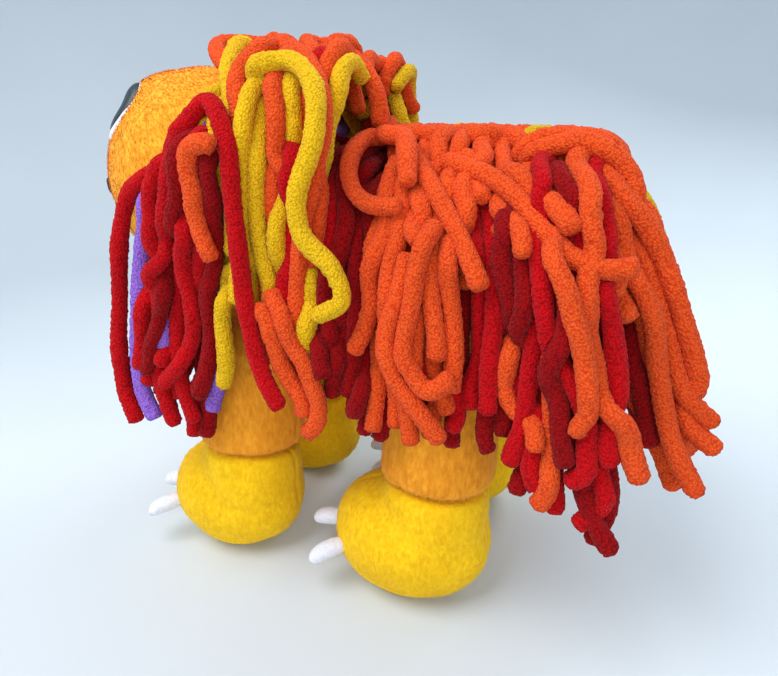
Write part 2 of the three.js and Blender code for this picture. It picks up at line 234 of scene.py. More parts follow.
def chenille_material(name):
    """Cut pile wound round a cord: small tufts with painted shade in the gaps between them, slightly uneven
    along its length.
    """
    light, dark = COLOURS[name]
    material, tree, shader = new_material(f"chenille_{name}")
    vector = place_texture(tree)
    tufts = cells_node(tree, vector, 1300)
    fibres = noise_node(tree, vector, 4500, 2.0)
    patches = noise_node(tree, vector, 60, 2.0)
    # The tufts' own colour at their middles, turning to the darker copy in the gaps: painted shade between
    # the tufts.
    tufts_with_gap_shade = ramp(tree, tufts, 0.15, 0.80, light, dark)
    shade = ramp(tree, patches, 0.25, 0.7, grey(0.80), grey(1))
    grain = ramp(tree, fibres, 0.30, 0.60, grey(0.72), grey(1))
    colour = multiply(tree, multiply(tree, tufts_with_gap_shade, shade, 1.0), grain, 1.0)
    tree.links.new(colour, shader.inputs["Base Color"])
    bump(tree, shader, tufts, -0.0007, 0.8)
    soft_shader(shader, 0.22, [0.15 + 0.85 * c for c in light])
    return material


def plush_material(name, light, dark, along=(1, 1, 0.35)):
    """Short brushed pile: fine streaks that run with the pile over soft wide patches."""
    material, tree, shader = new_material(f"plush_{name}")
    streaks = noise_node(tree, place_texture(tree, along), 620, 3.0, 0.6)
    patches = noise_node(tree, place_texture(tree, (1, 1, 0.7)), 55, 3.0)
    colour = ramp(tree, streaks, 0.30, 0.66, dark, light)
    shade = ramp(tree, patches, 0.30, 0.65, (0.90, 0.86, 0.80), grey(1))
    tree.links.new(multiply(tree, colour, shade, 0.9), shader.inputs["Base Color"])
    bump(tree, shader, streaks, 0.0007, 0.5)
    soft_shader(shader, 0.25, [0.25 + 0.75 * c for c in light])
    return material


def plain_material(name, light, dark, roughness):
    """Felt or thread: one colour with a fine grain."""
    scale, depth = 700, 0.0002
    material, tree, shader = new_material(name)
    grain = noise_node(tree, place_texture(tree), scale, 3.0)
    tree.links.new(ramp(tree, grain, 0.3, 0.7, dark, light), shader.inputs["Base Color"])
    bump(tree, shader, grain, depth, 0.6)
    shader.inputs["Roughness"].default_value = roughness
    return material


def eye_material():
    """A printed eye: dark slate that turns paler towards the nose."""
    material, tree, shader = new_material("eye_print")
    split = tree.nodes.new("ShaderNodeSeparateXYZ")
    tree.links.new(place_texture(tree), split.inputs["Vector"])
    towards_nose = tree.nodes.new("ShaderNodeMapRange")
    set_inputs(towards_nose, {"From Min": -0.086, "From Max": -0.106})
    tree.links.new(split.outputs["Y"], towards_nose.inputs["Value"])
    slate, pale = (0.012, 0.022, 0.032), (0.30, 0.40, 0.48)
    ink = ramp(tree, towards_nose.outputs["Result"], 0.1, 0.95, slate, pale)
    weave = ramp(tree, noise_node(tree, place_texture(tree), 2200, 2.0), 0.3, 0.7, grey(0.85), grey(1))
    tree.links.new(multiply(tree, ink, weave, 1.0), shader.inputs["Base Color"])
    shader.inputs["Roughness"].default_value = 0.45
    return material


def floor_material():
    material, tree, shader = new_material("studio_paper")
    grain = noise_node(tree, place_texture(tree), 3, 2.0)
    paper = ramp(tree, grain, 0.3, 0.7, (0.60, 0.66, 0.71), (0.64, 0.70, 0.75))
    tree.links.new(paper, shader.inputs["Base Color"])
    shader.inputs["Roughness"].default_value = 0.7
    return material


# ---- draped surfaces and routes, as in the CAD source ----
def on_drape(drape, y, reach, lift, sign=1):
    """A point on a draped surface: y along the body, reach down over the side, lift off it."""
    radius, centre = drape["radius"], drape["centre"]
    quarter = radius * math.pi / 2
    flare = Vector((drape["hem_spread"] - radius, drape["hem_height"] - centre)).normalized()
    angle = min(reach, quarter) / radius
    past = max(reach - quarter, 0)
    outward = Vector((-flare.y, flare.x)) if past > 0 else Vector((math.sin(angle), math.cos(angle)))
    x = radius * math.sin(angle) + flare.x * past + outward.x * lift
    z = centre + radius * math.cos(angle) + flare.y * past + outward.y * lift
    return Vector((x * sign, y, z))


def head(*points, lift=INNER):
    """A route over the head's coat; its points are (y, reach) or (y, reach, lift)."""
    return [on_drape(CAPE, *(*point, lift)[:3]) for point in points]


def body(*points, lift=INNER):
    return [on_drape(BLANKET, *(*point, lift)[:3]) for point in points]


def smooth_route(points):
    """A centripetal Catmull-Rom curve through the points, in even steps."""
    step, parts = 1.0, 16
    points = [Vector(p) for p in points]
    points = [2 * points[0] - points[1], *points, 2 * points[-1] - points[-2]]
    fine = []
    for a, b, c, d in zip(points, points[1:], points[2:], points[3:]):
        t1 = (b - a).length ** 0.5
        t2 = t1 + (c - b).length ** 0.5
        t3 = t2 + (d - c).length ** 0.5
        for k in range(parts):
            t = t1 + (t2 - t1) * k / parts
            p = a.lerp(b, t / t1)
            q = b.lerp(c, (t - t1) / (t2 - t1))
            r = c.lerp(d, (t - t2) / (t3 - t2))
            fine.append(p.lerp(q, t / t2).lerp(q.lerp(r, (t - t1) / (t3 - t1)), (t - t1) / (t2 - t1)))
    fine.append(points[-2])
    return even_steps(fine, step)


def even_steps(line, step):
    line = np.array([tuple(p) for p in line])
    gaps = np.linalg.norm(np.diff(line, axis=0), axis=1)
    along = np.concatenate([[0], np.cumsum(gaps)])
    count = max(4, round(along[-1] / step)) + 1
    marks = np.linspace(0, along[-1], count)
    return [Vector([np.interp(m, along, line[:, axis]) for axis in range(3)]) for m in marks]


# ---- strands ----
RING = 16  # points round a strand
RING_STEP = 0.8
PILE_RADIUS = 2.95
TUFT = 0.04  # how uneven the cut pile is, as a share of its radius
LUMP = 0.05  # how uneven the strand is along its length
LUMP_RINGS = 25
LUMP_EVENER = 3.5  # brings a smoothed lump back to about its size before
ROUND_END = 1.6  # a strand narrows this close to its cut end
NARROWEST = 0.35


def frames_along(line):
    """A pair of side vectors at each point of the line, which don't twist about it."""
    last = len(line) - 1
    tangents = [(line[min(k + 1, last)] - line[max(k - 1, 0)]).normalized() for k in range(last + 1)]
    side = tangents[0].orthogonal().normalized()
    frames = []
    for before, tangent in zip([tangents[0], *tangents], tangents):
        side = before.rotation_difference(tangent) @ side
        side = (side - tangent * side.dot(tangent)).normalized()
        frames.append((side, tangent.cross(side)))
    return frames


def tube_faces(rings, sides):
    """The quads of a tube whose points come ring by ring, and a cap at each end."""
    first = (np.arange(rings - 1) * sides)[:, None] + np.arange(sides)[None, :]
    second = (np.arange(rings - 1) * sides)[:, None] + (np.arange(sides) + 1)[None, :] % sides
    quads = np.stack([first, second, second + sides, first + sides], axis=2).reshape(-1, 4)
    caps = [tuple(reversed(range(sides))), tuple(range((rings - 1) * sides, rings * sides))]
    return [tuple(face) for face in quads.tolist()] + caps


def strand_geometry(line, seed):
    """Vertices and faces, in millimetres, of one chenille strand: a tube of uneven cut pile."""
    rng = np.random.default_rng(int(seed * 1000))
    line = even_steps(line, RING_STEP)
    count = len(line)
    frames = frames_along(line)
    angles = 2 * np.pi * np.arange(RING) / RING
    side = np.array([tuple(f[0]) for f in frames])[:, None, :]
    up = np.array([tuple(f[1]) for f in frames])[:, None, :]
    out = side * np.cos(angles)[None, :, None] + up * np.sin(angles)[None, :, None]
    tuft = rng.normal(0, 1, (count, RING))
    rough = rng.normal(0, 1, count + LUMP_RINGS - 1)
    lump = np.convolve(rough, np.hanning(LUMP_RINGS) / LUMP_EVENER, "valid")[:, None]
    from_end = np.minimum(np.arange(count), count - 1 - np.arange(count)) * RING_STEP
    past = np.clip(1 - from_end / ROUND_END, 0, 1)
    cap = np.sqrt(np.clip(1 - past ** 2, NARROWEST, 1))[:, None]
    reach = PILE_RADIUS * cap * (1 + TUFT * (1 + 2 * (cap < 1)) * tuft + LUMP * lump)
    verts = np.array([tuple(p) for p in line])[:, None, :] + out * reach[:, :, None]
    return [Vector(v) for v in verts.reshape(-1, 3)], tube_faces(count, RING)


def mesh_object(name, verts, faces, materials, slots=None):
    """A smooth-shaded mesh from points in millimetres; slots gives each face's material."""
    mesh = bpy.data.meshes.new(name)
    mesh.from_pydata([v * MM for v in verts], [], faces)
    for material in materials:
        mesh.materials.append(material)
    if slots:
        mesh.polygons.foreach_set("material_index", slots)
    mesh.shade_smooth()
    mesh.update()
    piece = bpy.data.objects.new(name, mesh)
    bpy.context.collection.objects.link(piece)
    return piece


# The strands that the CAD holds one by one: colour, the body they ride on, and their routes.
STRANDS = {
    "strand_cheek_red_1": ("red", "head", head((-55, 71), (-63, 77), (-69, 94), (-71, 115), (-73, 132),
        (-72, 148), (-67, 162))),
    "strand_cheek_lilac": ("lilac", "head", head((-56, 80), (-60, 102), (-62.5, 119), (-64, 134), (-63, 149),
        (-58, 159))),
    "strand_cheek_red_2": ("red", "head", head((-44, 64), (-47, 82), (-51, 97), (-53.5, 115), (-55, 132),
        (-54, 146), (-49, 160))),
    "strand_cheek_red_3": ("red", "head", head((-35, 62), (-38, 80), (-42, 97), (-44.5, 112), (-46, 128),
        (-45, 143), (-40, 157))),
    "strand_cheek_red_long": ("red", "head", head((-36, 60), (-27, 52), (-19, 60), (-16, 78), (-14, 96),
        (-11, 116), (-6, 132), (0, 142), lift=OUTER)),
    "strand_mane_gold_1": ("gold", "head", head((-33, 24), (-30, 36), (-24, 49), (-22, 63), (-21.5, 79),
        (-22, 95))),
    "strand_mane_gold_2": ("gold", "head", head((-12, 42), (-2, 41), (8, 48), (11, 60), (6, 74), (8, 86),
        (18, 95), (21, 104), (12, 110), lift=OUTER)),
    "strand_mane_gold_3": ("gold", "head", head((-13, 50), (-12, 64), (-12.5, 79), (-11, 93), (-8, 105),
        (-9.5, 118))),
    "strand_mane_orange": ("orange", "head", head((-20, 22), (-8, 29), (3, 40), (9, 54), (8, 69), (4, 83),
        (2.5, 97), (1.5, 111), (0, 125))),
    "strand_crown_loop_front": ("orange", "head", [(24, -30, 183), (19, -44, 192), (10, -51, 197.5),
        (1, -45, 199), (-3, -35, 196), (-4, -25, 188)]),
    "strand_crown_loop_back": ("orange", "head", [(14, -19, 183), (10, -14, 192), (8, -5, 194.5), (9, 5, 190),
        (12, 12, 181), (14, 14, 170)]),
    "strand_flank_crimson": ("crimson", "torso", body((15, 34), (18, 50), (20, 66), (20, 82), (19, 98))),
    "strand_flank_orange_1": ("orange", "torso", body((28, 30), (33, 48), (36, 64), (37, 79), (39, 95),
        (42, 110))),
    "strand_flank_orange_2": ("orange", "torso", body((42, 38), (46, 54), (46, 69), (47, 84), (53, 98))),
    "strand_flank_red_1": ("red", "torso", body((57, 34), (62, 50), (64, 65), (64, 81), (65, 96))),
    "strand_flank_red_2": ("red", "torso", body((68, 40), (74, 53), (76, 67), (76, 82), (75.5, 97),
        (73, 110))),
    "strand_back_orange_long": ("orange", "torso", body((44, 26), (56, 30), (66, 36), (75, 44), (84, 50),
        (93, 52), (101, 51), lift=OUTER)),
    "strand_back_orange_short": ("orange", "torso", body((24, 14), (34, 27), (45, 39), (54, 49), (61, 59),
        lift=OUTER)),
    "strand_rump_orange_1": ("orange", "torso", [(8, 52, 163.5), (12, 70, 162.5), (15, 84, 160),
        (16, 94, 150), (17, 102, 136), (18, 107, 123), (18, 112, 116), (18, 119, 112)]),
    "strand_rump_orange_2": ("orange", "torso", [(24, 70, 158), (29.5, 86, 154), (32.5, 98, 141.5),
        (33, 106, 127), (33, 113, 111), (34, 119, 97), (34, 129, 88)]),
    "strand_rump_red": ("crimson", "torso", body((84, 48), (86, 66), (88, 82), (90, 97), (94, 111), (99, 122),
        (105, 130))),
}


def add_tucks(looks):
    """The first stretch of each declared strand, out of the seam that it's sewn into."""
    for carrier, name, drape in (("head", "tucks_head", CAPE), ("torso", "tucks_body", BLANKET)):
        tucks = Coat(name, carrier, [], "chenille_red")
        for colour, strand_carrier, points in STRANDS.values():
            if strand_carrier == carrier:
                line = smooth_route(points)
                start = line[0]
                back = (start - line[4]).normalized()
                inward = (Vector((0, start.y, drape["centre"])) - start).normalized()
                root = start + back * 5 + inward * 3.5 + Vector((0, 2, 0))
                buried = root + back * 2 + inward * 8
                tucks.add(smooth_route([buried, root, start + back * 0.4, line[3], line[6]]), colour)
        tucks.finish(looks)


def add_declared_strands(looks):
    """Each strand that the CAD holds as a piece of its own, as a free cord of its real length."""
    for seed, (name, (colour, carrier, points)) in enumerate(STRANDS.items()):
        line = smooth_route(points)
        verts, faces = strand_geometry(line, seed + 1)
        strand = mesh_object(name + "_pile", verts, faces, [looks[colour]])
        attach(strand, carrier)
        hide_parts(name)


# ---- stuffed pieces ----
def ball(centre, radii, shape):
    """Adds an ellipsoid to a bmesh."""
    made = bmesh.ops.create_icosphere(shape, subdivisions=4, radius=1)
    for vert in made["verts"]:
        vert.co = Vector(centre) + Vector(vert.co[k] * radii[k] for k in range(3))


def turn(profile, shape, place, segments=48):
    """Adds a turned shape to a bmesh: rows are (height, radius) about Z, and place() moves each point."""
    angles = [2 * math.pi * k / segments for k in range(segments)]
    rings = []
    for height, radius in profile:
        ring = [Vector((radius * math.cos(a), radius * math.sin(a), height)) for a in angles]
        rings.append([shape.verts.new(place(point)) for point in ring])
    for low, high in zip(rings, rings[1:]):
        for k in range(segments):
            n = (k + 1) % segments
            shape.faces.new((low[k], low[n], high[n], high[k]))
    shape.faces.new(list(reversed(rings[0])))
    shape.faces.new(rings[-1])


def stuffed(name, build, voxel, smoothing, fine=False):
    """One smooth skin round everything that build() adds to a bmesh: voxel size in mm, smoothing rounds."""
    shape = bmesh.new()
    build(shape)
    mesh = bpy.data.meshes.new(name)
    shape.to_mesh(mesh)
    shape.free()
    mesh.transform(Matrix.Scale(MM, 4))
    rough = bpy.data.objects.new(name, mesh)
    bpy.context.collection.objects.link(rough)
    remesh = rough.modifiers.new("skin", "REMESH")
    remesh.mode = "VOXEL"
    remesh.voxel_size = voxel * MM
    smooth = rough.modifiers.new("soften", "SMOOTH")
    smooth.factor = 0.5
    smooth.iterations = smoothing
    if fine:
        finer = rough.modifiers.new("finer", "SUBSURF")
        finer.levels = 1
        finer.render_levels = 1
    return settle(rough)


def settle(piece):
    """Applies a piece's modifiers."""
    graph = bpy.context.evaluated_depsgraph_get()
    final = bpy.data.meshes.new_from_object(piece.evaluated_get(graph))
    piece.modifiers.clear()
    old, piece.data = piece.data, final
    final.name = piece.name
    bpy.data.meshes.remove(old)
    final.shade_smooth()
    return piece


def reshape(piece, change):
    """Moves every vertex by change(point, normal), both in millimetres."""
    skin = [(vert.co / MM, vert.normal.copy()) for vert in piece.data.vertices]
    moved = [change(point, normal) * MM for point, normal in skin]
    piece.data.vertices.foreach_set("co", [axis for point in moved for axis in point])
    piece.data.update()


def groove(distance, depth, width):
    """How far a seam pulls the skin in at a distance from its line."""
    return depth * math.exp(-((distance / width) ** 2))


def dress(piece, carrier, nodes, material):
    """Gives a stuffed piece its look, its body and the CAD solids that it stands for."""
    piece.data.materials.clear()
    piece.data.materials.append(material)
    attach(piece, carrier)
    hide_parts(*nodes)
    return piece


BLADE_HALF_WIDTH = 0.13
BLADE_TIP = (0.36, 0.93)  # away from the skin and along it, for a blade of length 1
BLADE_MIDDLE = (0.26, 0.42)
BLADE_WANDER = 0.35  # how far blades stray from the pile's common lean


def add_pile(piece, carrier, material, per_mm2, length, lean, keep, seed=1):
    """Brushed pile: thin blades of fibre that lean over the skin of a stuffed piece, where keep() allows."""
    rng = np.random.default_rng(seed)
    mesh = piece.data
    mesh.calc_loop_triangles()
    corners = np.array([tuple(v.co) for v in mesh.vertices]) / MM
    normals = np.array([tuple(v.normal) for v in mesh.vertices])
    triangles = np.array([tuple(t.vertices) for t in mesh.loop_triangles])
    a, b, c = (corners[triangles[:, k]] for k in range(3))
    area = np.linalg.norm(np.cross(b - a, c - a), axis=1) / 2
    picks = rng.choice(len(triangles), int(area.sum() * per_mm2), p=area / area.sum())
    u, v = rng.random((2, len(picks)))
    flip = u + v > 1
    u[flip], v[flip] = 1 - u[flip], 1 - v[flip]
    weights = np.stack([1 - u - v, u, v], axis=1)
    roots = sum(corners[triangles[picks, k]] * weights[:, k:k + 1] for k in range(3))
    out = sum(normals[triangles[picks, k]] * weights[:, k:k + 1] for k in range(3))
    out /= np.linalg.norm(out, axis=1)[:, None]
    kept = np.array([keep(p) for p in roots])
    roots, out = roots[kept], out[kept]
    wander = rng.normal(0, BLADE_WANDER, roots.shape)
    flow = np.array(lean) + wander
    flow -= out * (flow * out).sum(axis=1)[:, None]
    flow /= np.linalg.norm(flow, axis=1)[:, None] + 1e-9
    side = np.cross(flow, out)
    reach = length * rng.uniform(0.6, 1.2, len(roots))[:, None]
    half = side * BLADE_HALF_WIDTH
    middle, tips = (roots + reach * (away * out + along * flow) for away, along in (BLADE_MIDDLE, BLADE_TIP))
    blade = [roots - half, roots + half, middle + half * 0.8, middle - half * 0.8, tips]
    verts = np.stack(blade, axis=1).reshape(-1, 3)
    starts = range(0, len(verts), len(blade))
    faces = [face for k in starts for face in ((k, k + 1, k + 2, k + 3), (k + 3, k + 2, k + 4))]
    pile = mesh_object(piece.name + "_pile", verts, faces, [material])
    soft = np.repeat(out, len(blade), axis=0)
    pile.data.normals_split_custom_set_from_vertices([tuple(n) for n in soft])
    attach(pile, carrier)


# ---- head ----
def mouth_height(x):
    """The smile: an arc of a circle across the muzzle."""
    return SMILE_LOW + SMILE_RADIUS - math.sqrt(SMILE_RADIUS ** 2 - x * x)


def near_mouth(point):
    x, y, z = point
    return y < MUZZLE[0].y and abs(x) < SMILE_REACH and abs(z - mouth_height(x)) < 1.8


def add_head(looks):
    def build(shape):
        ball(HEAD_CENTRE, SKULL_RADII - Vector((0.6, 0.6, 0.6)), shape)
        ball(*BROW, shape)
        ball(*MUZZLE, shape)
        ball(*JAW, shape)

    head_skin = stuffed("head_plush", build, voxel=2.4, smoothing=5, fine=True)

    def seams(point, normal):
        depth = groove(point.x, 0.7, 1.1) if point.z > 160 else 0
        lump = 0.5 * noise.noise(point * 0.06)
        return point + normal * (lump - depth)

    reshape(head_skin, seams)
    dress(head_skin, "head", ["head"], looks["golden"])
    add_pile(head_skin, "head", looks["golden"], per_mm2=1.5, length=1.7,
             lean=(0, 0.7, -0.7), keep=lambda p: p[1] < -25 and not near_mouth(p))
    return head_skin


def on_skin(piece, point, towards):
    """Where a ray from a point meets a piece's skin, with the normal there, in millimetres."""
    _, where, normal, _ = piece.ray_cast(Vector(point) * MM, Vector(towards).normalized())
    return where / MM, normal


def add_eye(head_skin, side, sign, looks):
    """Two printed ovals, one on the other, laid on the skin and closed behind by a skirt sunk into it."""
    towards = Vector((EYE_DIRECTION[0] * sign, *EYE_DIRECTION[1:])).normalized()
    across = Vector((0, 0, 1)).cross(towards).normalized()
    up = towards.cross(across).normalized()
    outside, sunk = 70, -1.5
    rings, spokes = 12, 48
    patches = [("eye_white", 9.5, 12.8, EYE_RISE, 1.0, "felt_white", "white"),
               ("eye_pupil", 9.2, 11.3, EYE_RISE + 1.3, 1.6, "eye_print", "eye")]
    for name, half_width, half_height, rise, lift, slot, look in patches:
        verts, faces = [], []
        for ring in range(rings + 2):
            share = min(ring / rings, 1)
            for spoke in range(spokes):
                angle = 2 * math.pi * spoke / spokes
                sideways = half_width * share * math.cos(angle) + EYE_OUTWARD * sign
                offset = across * sideways + up * (half_height * share * math.sin(angle) + rise)
                where, _ = on_skin(head_skin, HEAD_CENTRE + towards * outside + offset, -towards)
                height = lift * math.sqrt(max(0, 1 - share ** 6)) if ring <= rings else sunk
                verts.append(where + towards * height)
        for ring in range(rings + 1):
            for spoke in range(spokes):
                n = (spoke + 1) % spokes
                base = ring * spokes
                faces.append((base + spoke, base + spokes + spoke, base + spokes + n, base + n))
        patch = mesh_object(f"{name}_{side}_patch", verts, faces, [looks[look]])
        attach(patch, "head")
        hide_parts(f"{name}_{side}")


def add_mouth(head_skin, looks):
    """A satin-stitched line of thread across the front of the muzzle."""
    step, radius, sides = 0.35, 1.25, 10
    line = []
    for k in range(33):
        x = SMILE_REACH * (k / 16 - 1)
        where, normal = on_skin(head_skin, (x, -160, mouth_height(x)), (0, 1, 0))
        line.append(where + normal * 0.2)
    line = even_steps(line, step)
    verts = []
    for k, (point, (side, up)) in enumerate(zip(line, frames_along(line))):
        from_end = min(k, len(line) - 1 - k) * step
        stitch = 1 + 0.10 * math.sin(k * 2.4)
        size = radius * min(1, 0.35 + from_end / 2.5) * stitch
        for n in range(sides):
            angle = 2 * math.pi * n / sides
            verts.append(point + (side * math.cos(angle) + up * math.sin(angle)) * size)
    faces = tube_faces(len(line), sides)
    thread = mesh_object("mouth_thread", verts, faces, [looks["black"]])
    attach(thread, "head")
    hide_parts("mouth")


# ---- body ----
def add_torso(looks):
    profile = [(-57.5, 4), (-56, 12), (-50, 24), (-32, 33), (0, 37.3), (48, 37.3), (70, 33.3), (84, 21),
               (89, 8)]

    def build(shape):
        turn(profile, shape, lambda p: Vector((p.x, p.z, p.y + TORSO_HEIGHT)))

    def seams(point, normal):
        depth = groove(point.x, 0.8, 1.2) if point.z < TORSO_HEIGHT else 0
        return point + normal * (0.8 * noise.noise(point * 0.05) - depth)

    torso = stuffed("torso_plush", build, voxel=3, smoothing=8)
    reshape(torso, seams)
    dress(torso, "torso", ["torso"], looks["golden_leg"])
    add_pile(torso, "torso", looks["golden_leg"], per_mm2=1.0, length=2.0,
             lean=(0, 0.4, -0.9), keep=lambda p: p[2] < HIP_HEIGHT or p[1] < -30, seed=2)
    neck_radii = (17.5, 17.5, 17.5)
    neck = stuffed("neck_plush", lambda shape: ball(NECK_PIVOT, neck_radii, shape), voxel=2, smoothing=2)
    dress(neck, "neck", ["neck"], looks["golden_leg"])


# ---- legs and feet ----
SEAM_HEIGHT = 7.5  # of the seam round the sole, under the middle of the foot
SEAM_SLOPE = 0.2


def leg_axis(pair, sign):
    hip = Vector((HIP_SPREAD * sign, pair["hip_y"], HIP_HEIGHT))
    ankle = Vector((pair["spread"] * sign, pair["hip_y"], ANKLE_HEIGHT))
    return hip, ankle


def along_leg(pair, sign, from_ankle=True):
    """A function that stands a turned shape on the ankle, along the leg or down into the foot."""
    hip, ankle = leg_axis(pair, sign)
    direction = (hip - ankle if from_ankle else ankle - hip).normalized()
    turned_to = Vector((0, 0, 1)).rotation_difference(direction)
    return lambda point: ankle + turned_to @ point


def add_leg(pair_name, pair, side, sign, looks, seed):
    carrier = f"leg_{pair_name}_{side}"
    profile = [(0.2, 15), (0.8, 18.6), (2.5, 20.4), (6, 21), (16, 20.4), (30, 20.2), (42, 20.8), (52, 17.5),
               (60, 10), (63, 3)]
    place = along_leg(pair, sign)
    leg = stuffed(f"{carrier}_plush", lambda shape: turn(profile, shape, place), voxel=2, smoothing=3,
                  fine=True)
    hip, ankle = leg_axis(pair, sign)

    def seams(point, normal):
        axis_x = ankle.x + (hip.x - ankle.x) * (point.z - ankle.z) / (hip.z - ankle.z)
        depth = groove(point.x - axis_x, 0.9, 1.0) if point.y > ankle.y else 0
        lump = 0.9 * noise.noise(point * 0.07 + Vector((seed, 0, 0)))
        creases = 0.35 * noise.noise(Vector((point.x * 0.3, point.y * 0.3, point.z * 0.05)))
        pucker = creases * math.exp(-(point.z - ANKLE_HEIGHT) / 12)
        return point + normal * (lump + pucker - depth)

    reshape(leg, seams)
    dress(leg, carrier, [carrier], looks["golden_leg"])
    add_pile(leg, carrier, looks["golden_leg"], per_mm2=1.7, length=1.6,
             lean=(0, -0.5, -0.9), keep=lambda p: 46.2 < p[2] < 84, seed=seed)


def foot_centre(pair, sign):
    return Vector((pair["spread"] * sign, pair["hip_y"] - FOOT_AHEAD_OF_ANKLE * pair["scale"], 0))


def add_foot(pair_name, pair, side, sign, looks, seed):
    carrier = f"leg_{pair_name}_{side}"
    centre = foot_centre(pair, sign)
    width, length = FOOT_HALF_WIDTH * pair["scale"], FOOT_HALF_LENGTH * pair["scale"]
    rows = [(0.2, 0.42), (0.9, 0.53), (3, 0.67), (6, 0.80), (10, 0.90), (16, 0.98), (22, 1), (29, 0.96),
            (35, 0.85), (40, 0.64), (43, 0.4)]
    heel = [(0.4, 16), (0.9, 18.8), (3, 19.8), (10, 20.3), (20, 19), (32, 11), (36, 3)]

    def build(shape):
        turn(rows, shape, lambda p: centre + Vector((p.x * width, p.y * length, p.z)))
        turn(heel, shape, along_leg(pair, sign, False))

    foot = stuffed(f"foot_{pair_name}_{side}_plush", build, voxel=1.8, smoothing=5, fine=True)

    def seams(point, normal):
        sideways, ahead, _ = point - centre
        above = above_seam(point, centre)
        sole = groove(above, 1.4, 1.1)
        middle = groove(sideways, 0.6 if ahead < 0 else 0.8, 0.9) * (above > 0)
        lump = 0.8 * noise.noise(point * 0.06 + Vector((seed, 3, 0)))
        moved = point + normal * (lump * min(1, point.z / 8) - max(sole, middle))
        moved.z = max(moved.z, 0.05)
        return moved

    reshape(foot, seams)
    sole = split_off(foot, f"sole_{pair_name}_{side}_plush", centre)
    dress(foot, carrier, [f"foot_{pair_name}_{side}"], looks["yellow"])
    dress(sole, carrier, [f"sole_{pair_name}_{side}"], looks["yellow"])
    add_pile(foot, carrier, looks["yellow"], per_mm2=1.5, length=1.1, lean=(0, -0.5, -0.8),
             keep=lambda p: p[2] < 45 and abs(above_seam(Vector(p), centre)) > 1, seed=seed)
    add_claws(pair_name, pair, side, sign, foot, looks)


def above_seam(point, centre):
    """How far a point lies above the sole seam, which climbs from the heel to the toe."""
    return point.z - SEAM_HEIGHT + SEAM_SLOPE * (point.y - centre.y)


def split_off(piece, name, centre):
    """Cuts a foot along its sole seam, leaves the top and returns the sole, both closed."""
    bottom = bpy.data.objects.new(name, piece.data.copy())
    bpy.context.collection.objects.link(bottom)
    for part, keep_top in ((piece, True), (bottom, False)):
        shape = bmesh.new()
        shape.from_mesh(part.data)
        everything = shape.verts[:] + shape.edges[:] + shape.faces[:]
        on_seam = (centre + Vector((0, 0, SEAM_HEIGHT))) * MM
        cut = bmesh.ops.bisect_plane(shape, geom=everything, plane_co=on_seam, plane_no=(0, SEAM_SLOPE, 1),
                                     clear_inner=keep_top, clear_outer=not keep_top)
        rim = [item for item in cut["geom_cut"] if isinstance(item, bmesh.types.BMEdge)]
        bmesh.ops.contextual_create(shape, geom=rim)
        shape.to_mesh(part.data)
        shape.free()
        part.data.shade_smooth()
    return bottom


def add_claws(pair_name, pair, side, sign, foot, looks):
    """White felt fingers sewn to the toe, a little bent and flattened."""
    carrier = f"leg_{pair_name}_{side}"
    centre = foot_centre(pair, sign)
    width, length = FOOT_HALF_WIDTH * pair["scale"], FOOT_HALF_LENGTH * pair["scale"]
    rows = [(-1.5, 2.6), (0, 3.3), (3, 3.7), (6, 3.75), (9, 3.5), (11, 2.9), (12.2, 1.9), (12.8, 0.7)]
    for place, degrees in (("inner", -38), ("middle", 0), ("outer", 38)):
        angle = math.radians(degrees) * sign
        outward = Vector((math.sin(angle) / width, -math.cos(angle) / length, 0)).normalized()
        base = centre + Vector((width * math.sin(angle), -length * math.cos(angle), 18))
        turned_to = Vector((0, 0, 1)).rotation_difference(outward)

        def stand(point):
            bent = Vector((point.x * 0.95, point.y, point.z))
            return base + turned_to @ bent + Vector((0, 0, -0.018 * max(point.z, 0) ** 2))

        name = f"claw_{pair_name}_{side}_{place}"
        claw = stuffed(name + "_felt", lambda shape: turn(rows, shape, stand, 24), voxel=0.7, smoothing=3)
        dress(claw, carrier, [name], looks["white"])


# ---- the coat ----
SWAY = 2.8  # how far a strand swings to and fro on its way down
HUMP = 2.5  # how far it rises over its seam
RUMP_START = 78  # behind this, the back falls away to the tail
RUMP_FALL = 0.06
RUMP_FALL_REACH = 80  # and the strands that start this far down the side no longer fall with it


def hanging(drape, side, start, end, lift, rng):
    """A loose strand from its root to its tip over a draped surface; ends are (y, reach)."""
    phase, speed = rng.uniform(0, 2 * math.pi), rng.uniform(3, 7)
    drift = rng.uniform(-3, 3)
    flick = rng.uniform(-1, 1)
    y, reach = start
    points = [on_drape(drape, y + 5, reach - 7, lift - 7, side),
              on_drape(drape, y + 3, reach - 5, lift - 2, side)]
    for k in range(12):
        t = k / 11
        wave = SWAY * math.sin(phase + speed * t) * min(1, 2.5 * t)
        curl = 7 * flick * max(0, t - 0.72) ** 1.5 * 3
        y = start[0] + (end[0] - start[0]) * t + wave + drift * t * t + curl
        reach = start[1] + (end[1] - start[1]) * t
        rise = lift + HUMP * math.exp(-((t - 0.12) / 0.14) ** 2) + 1.3 * math.sin(phase * 1.7 + 5 * t)
        point = on_drape(drape, y, reach, rise + 6 * max(0, t - 0.75), side)
        point.z -= RUMP_FALL * max(0, y - RUMP_START) ** 2 * max(0, 1 - reach / RUMP_FALL_REACH)
        points.append(point)
    return smooth_route(points)


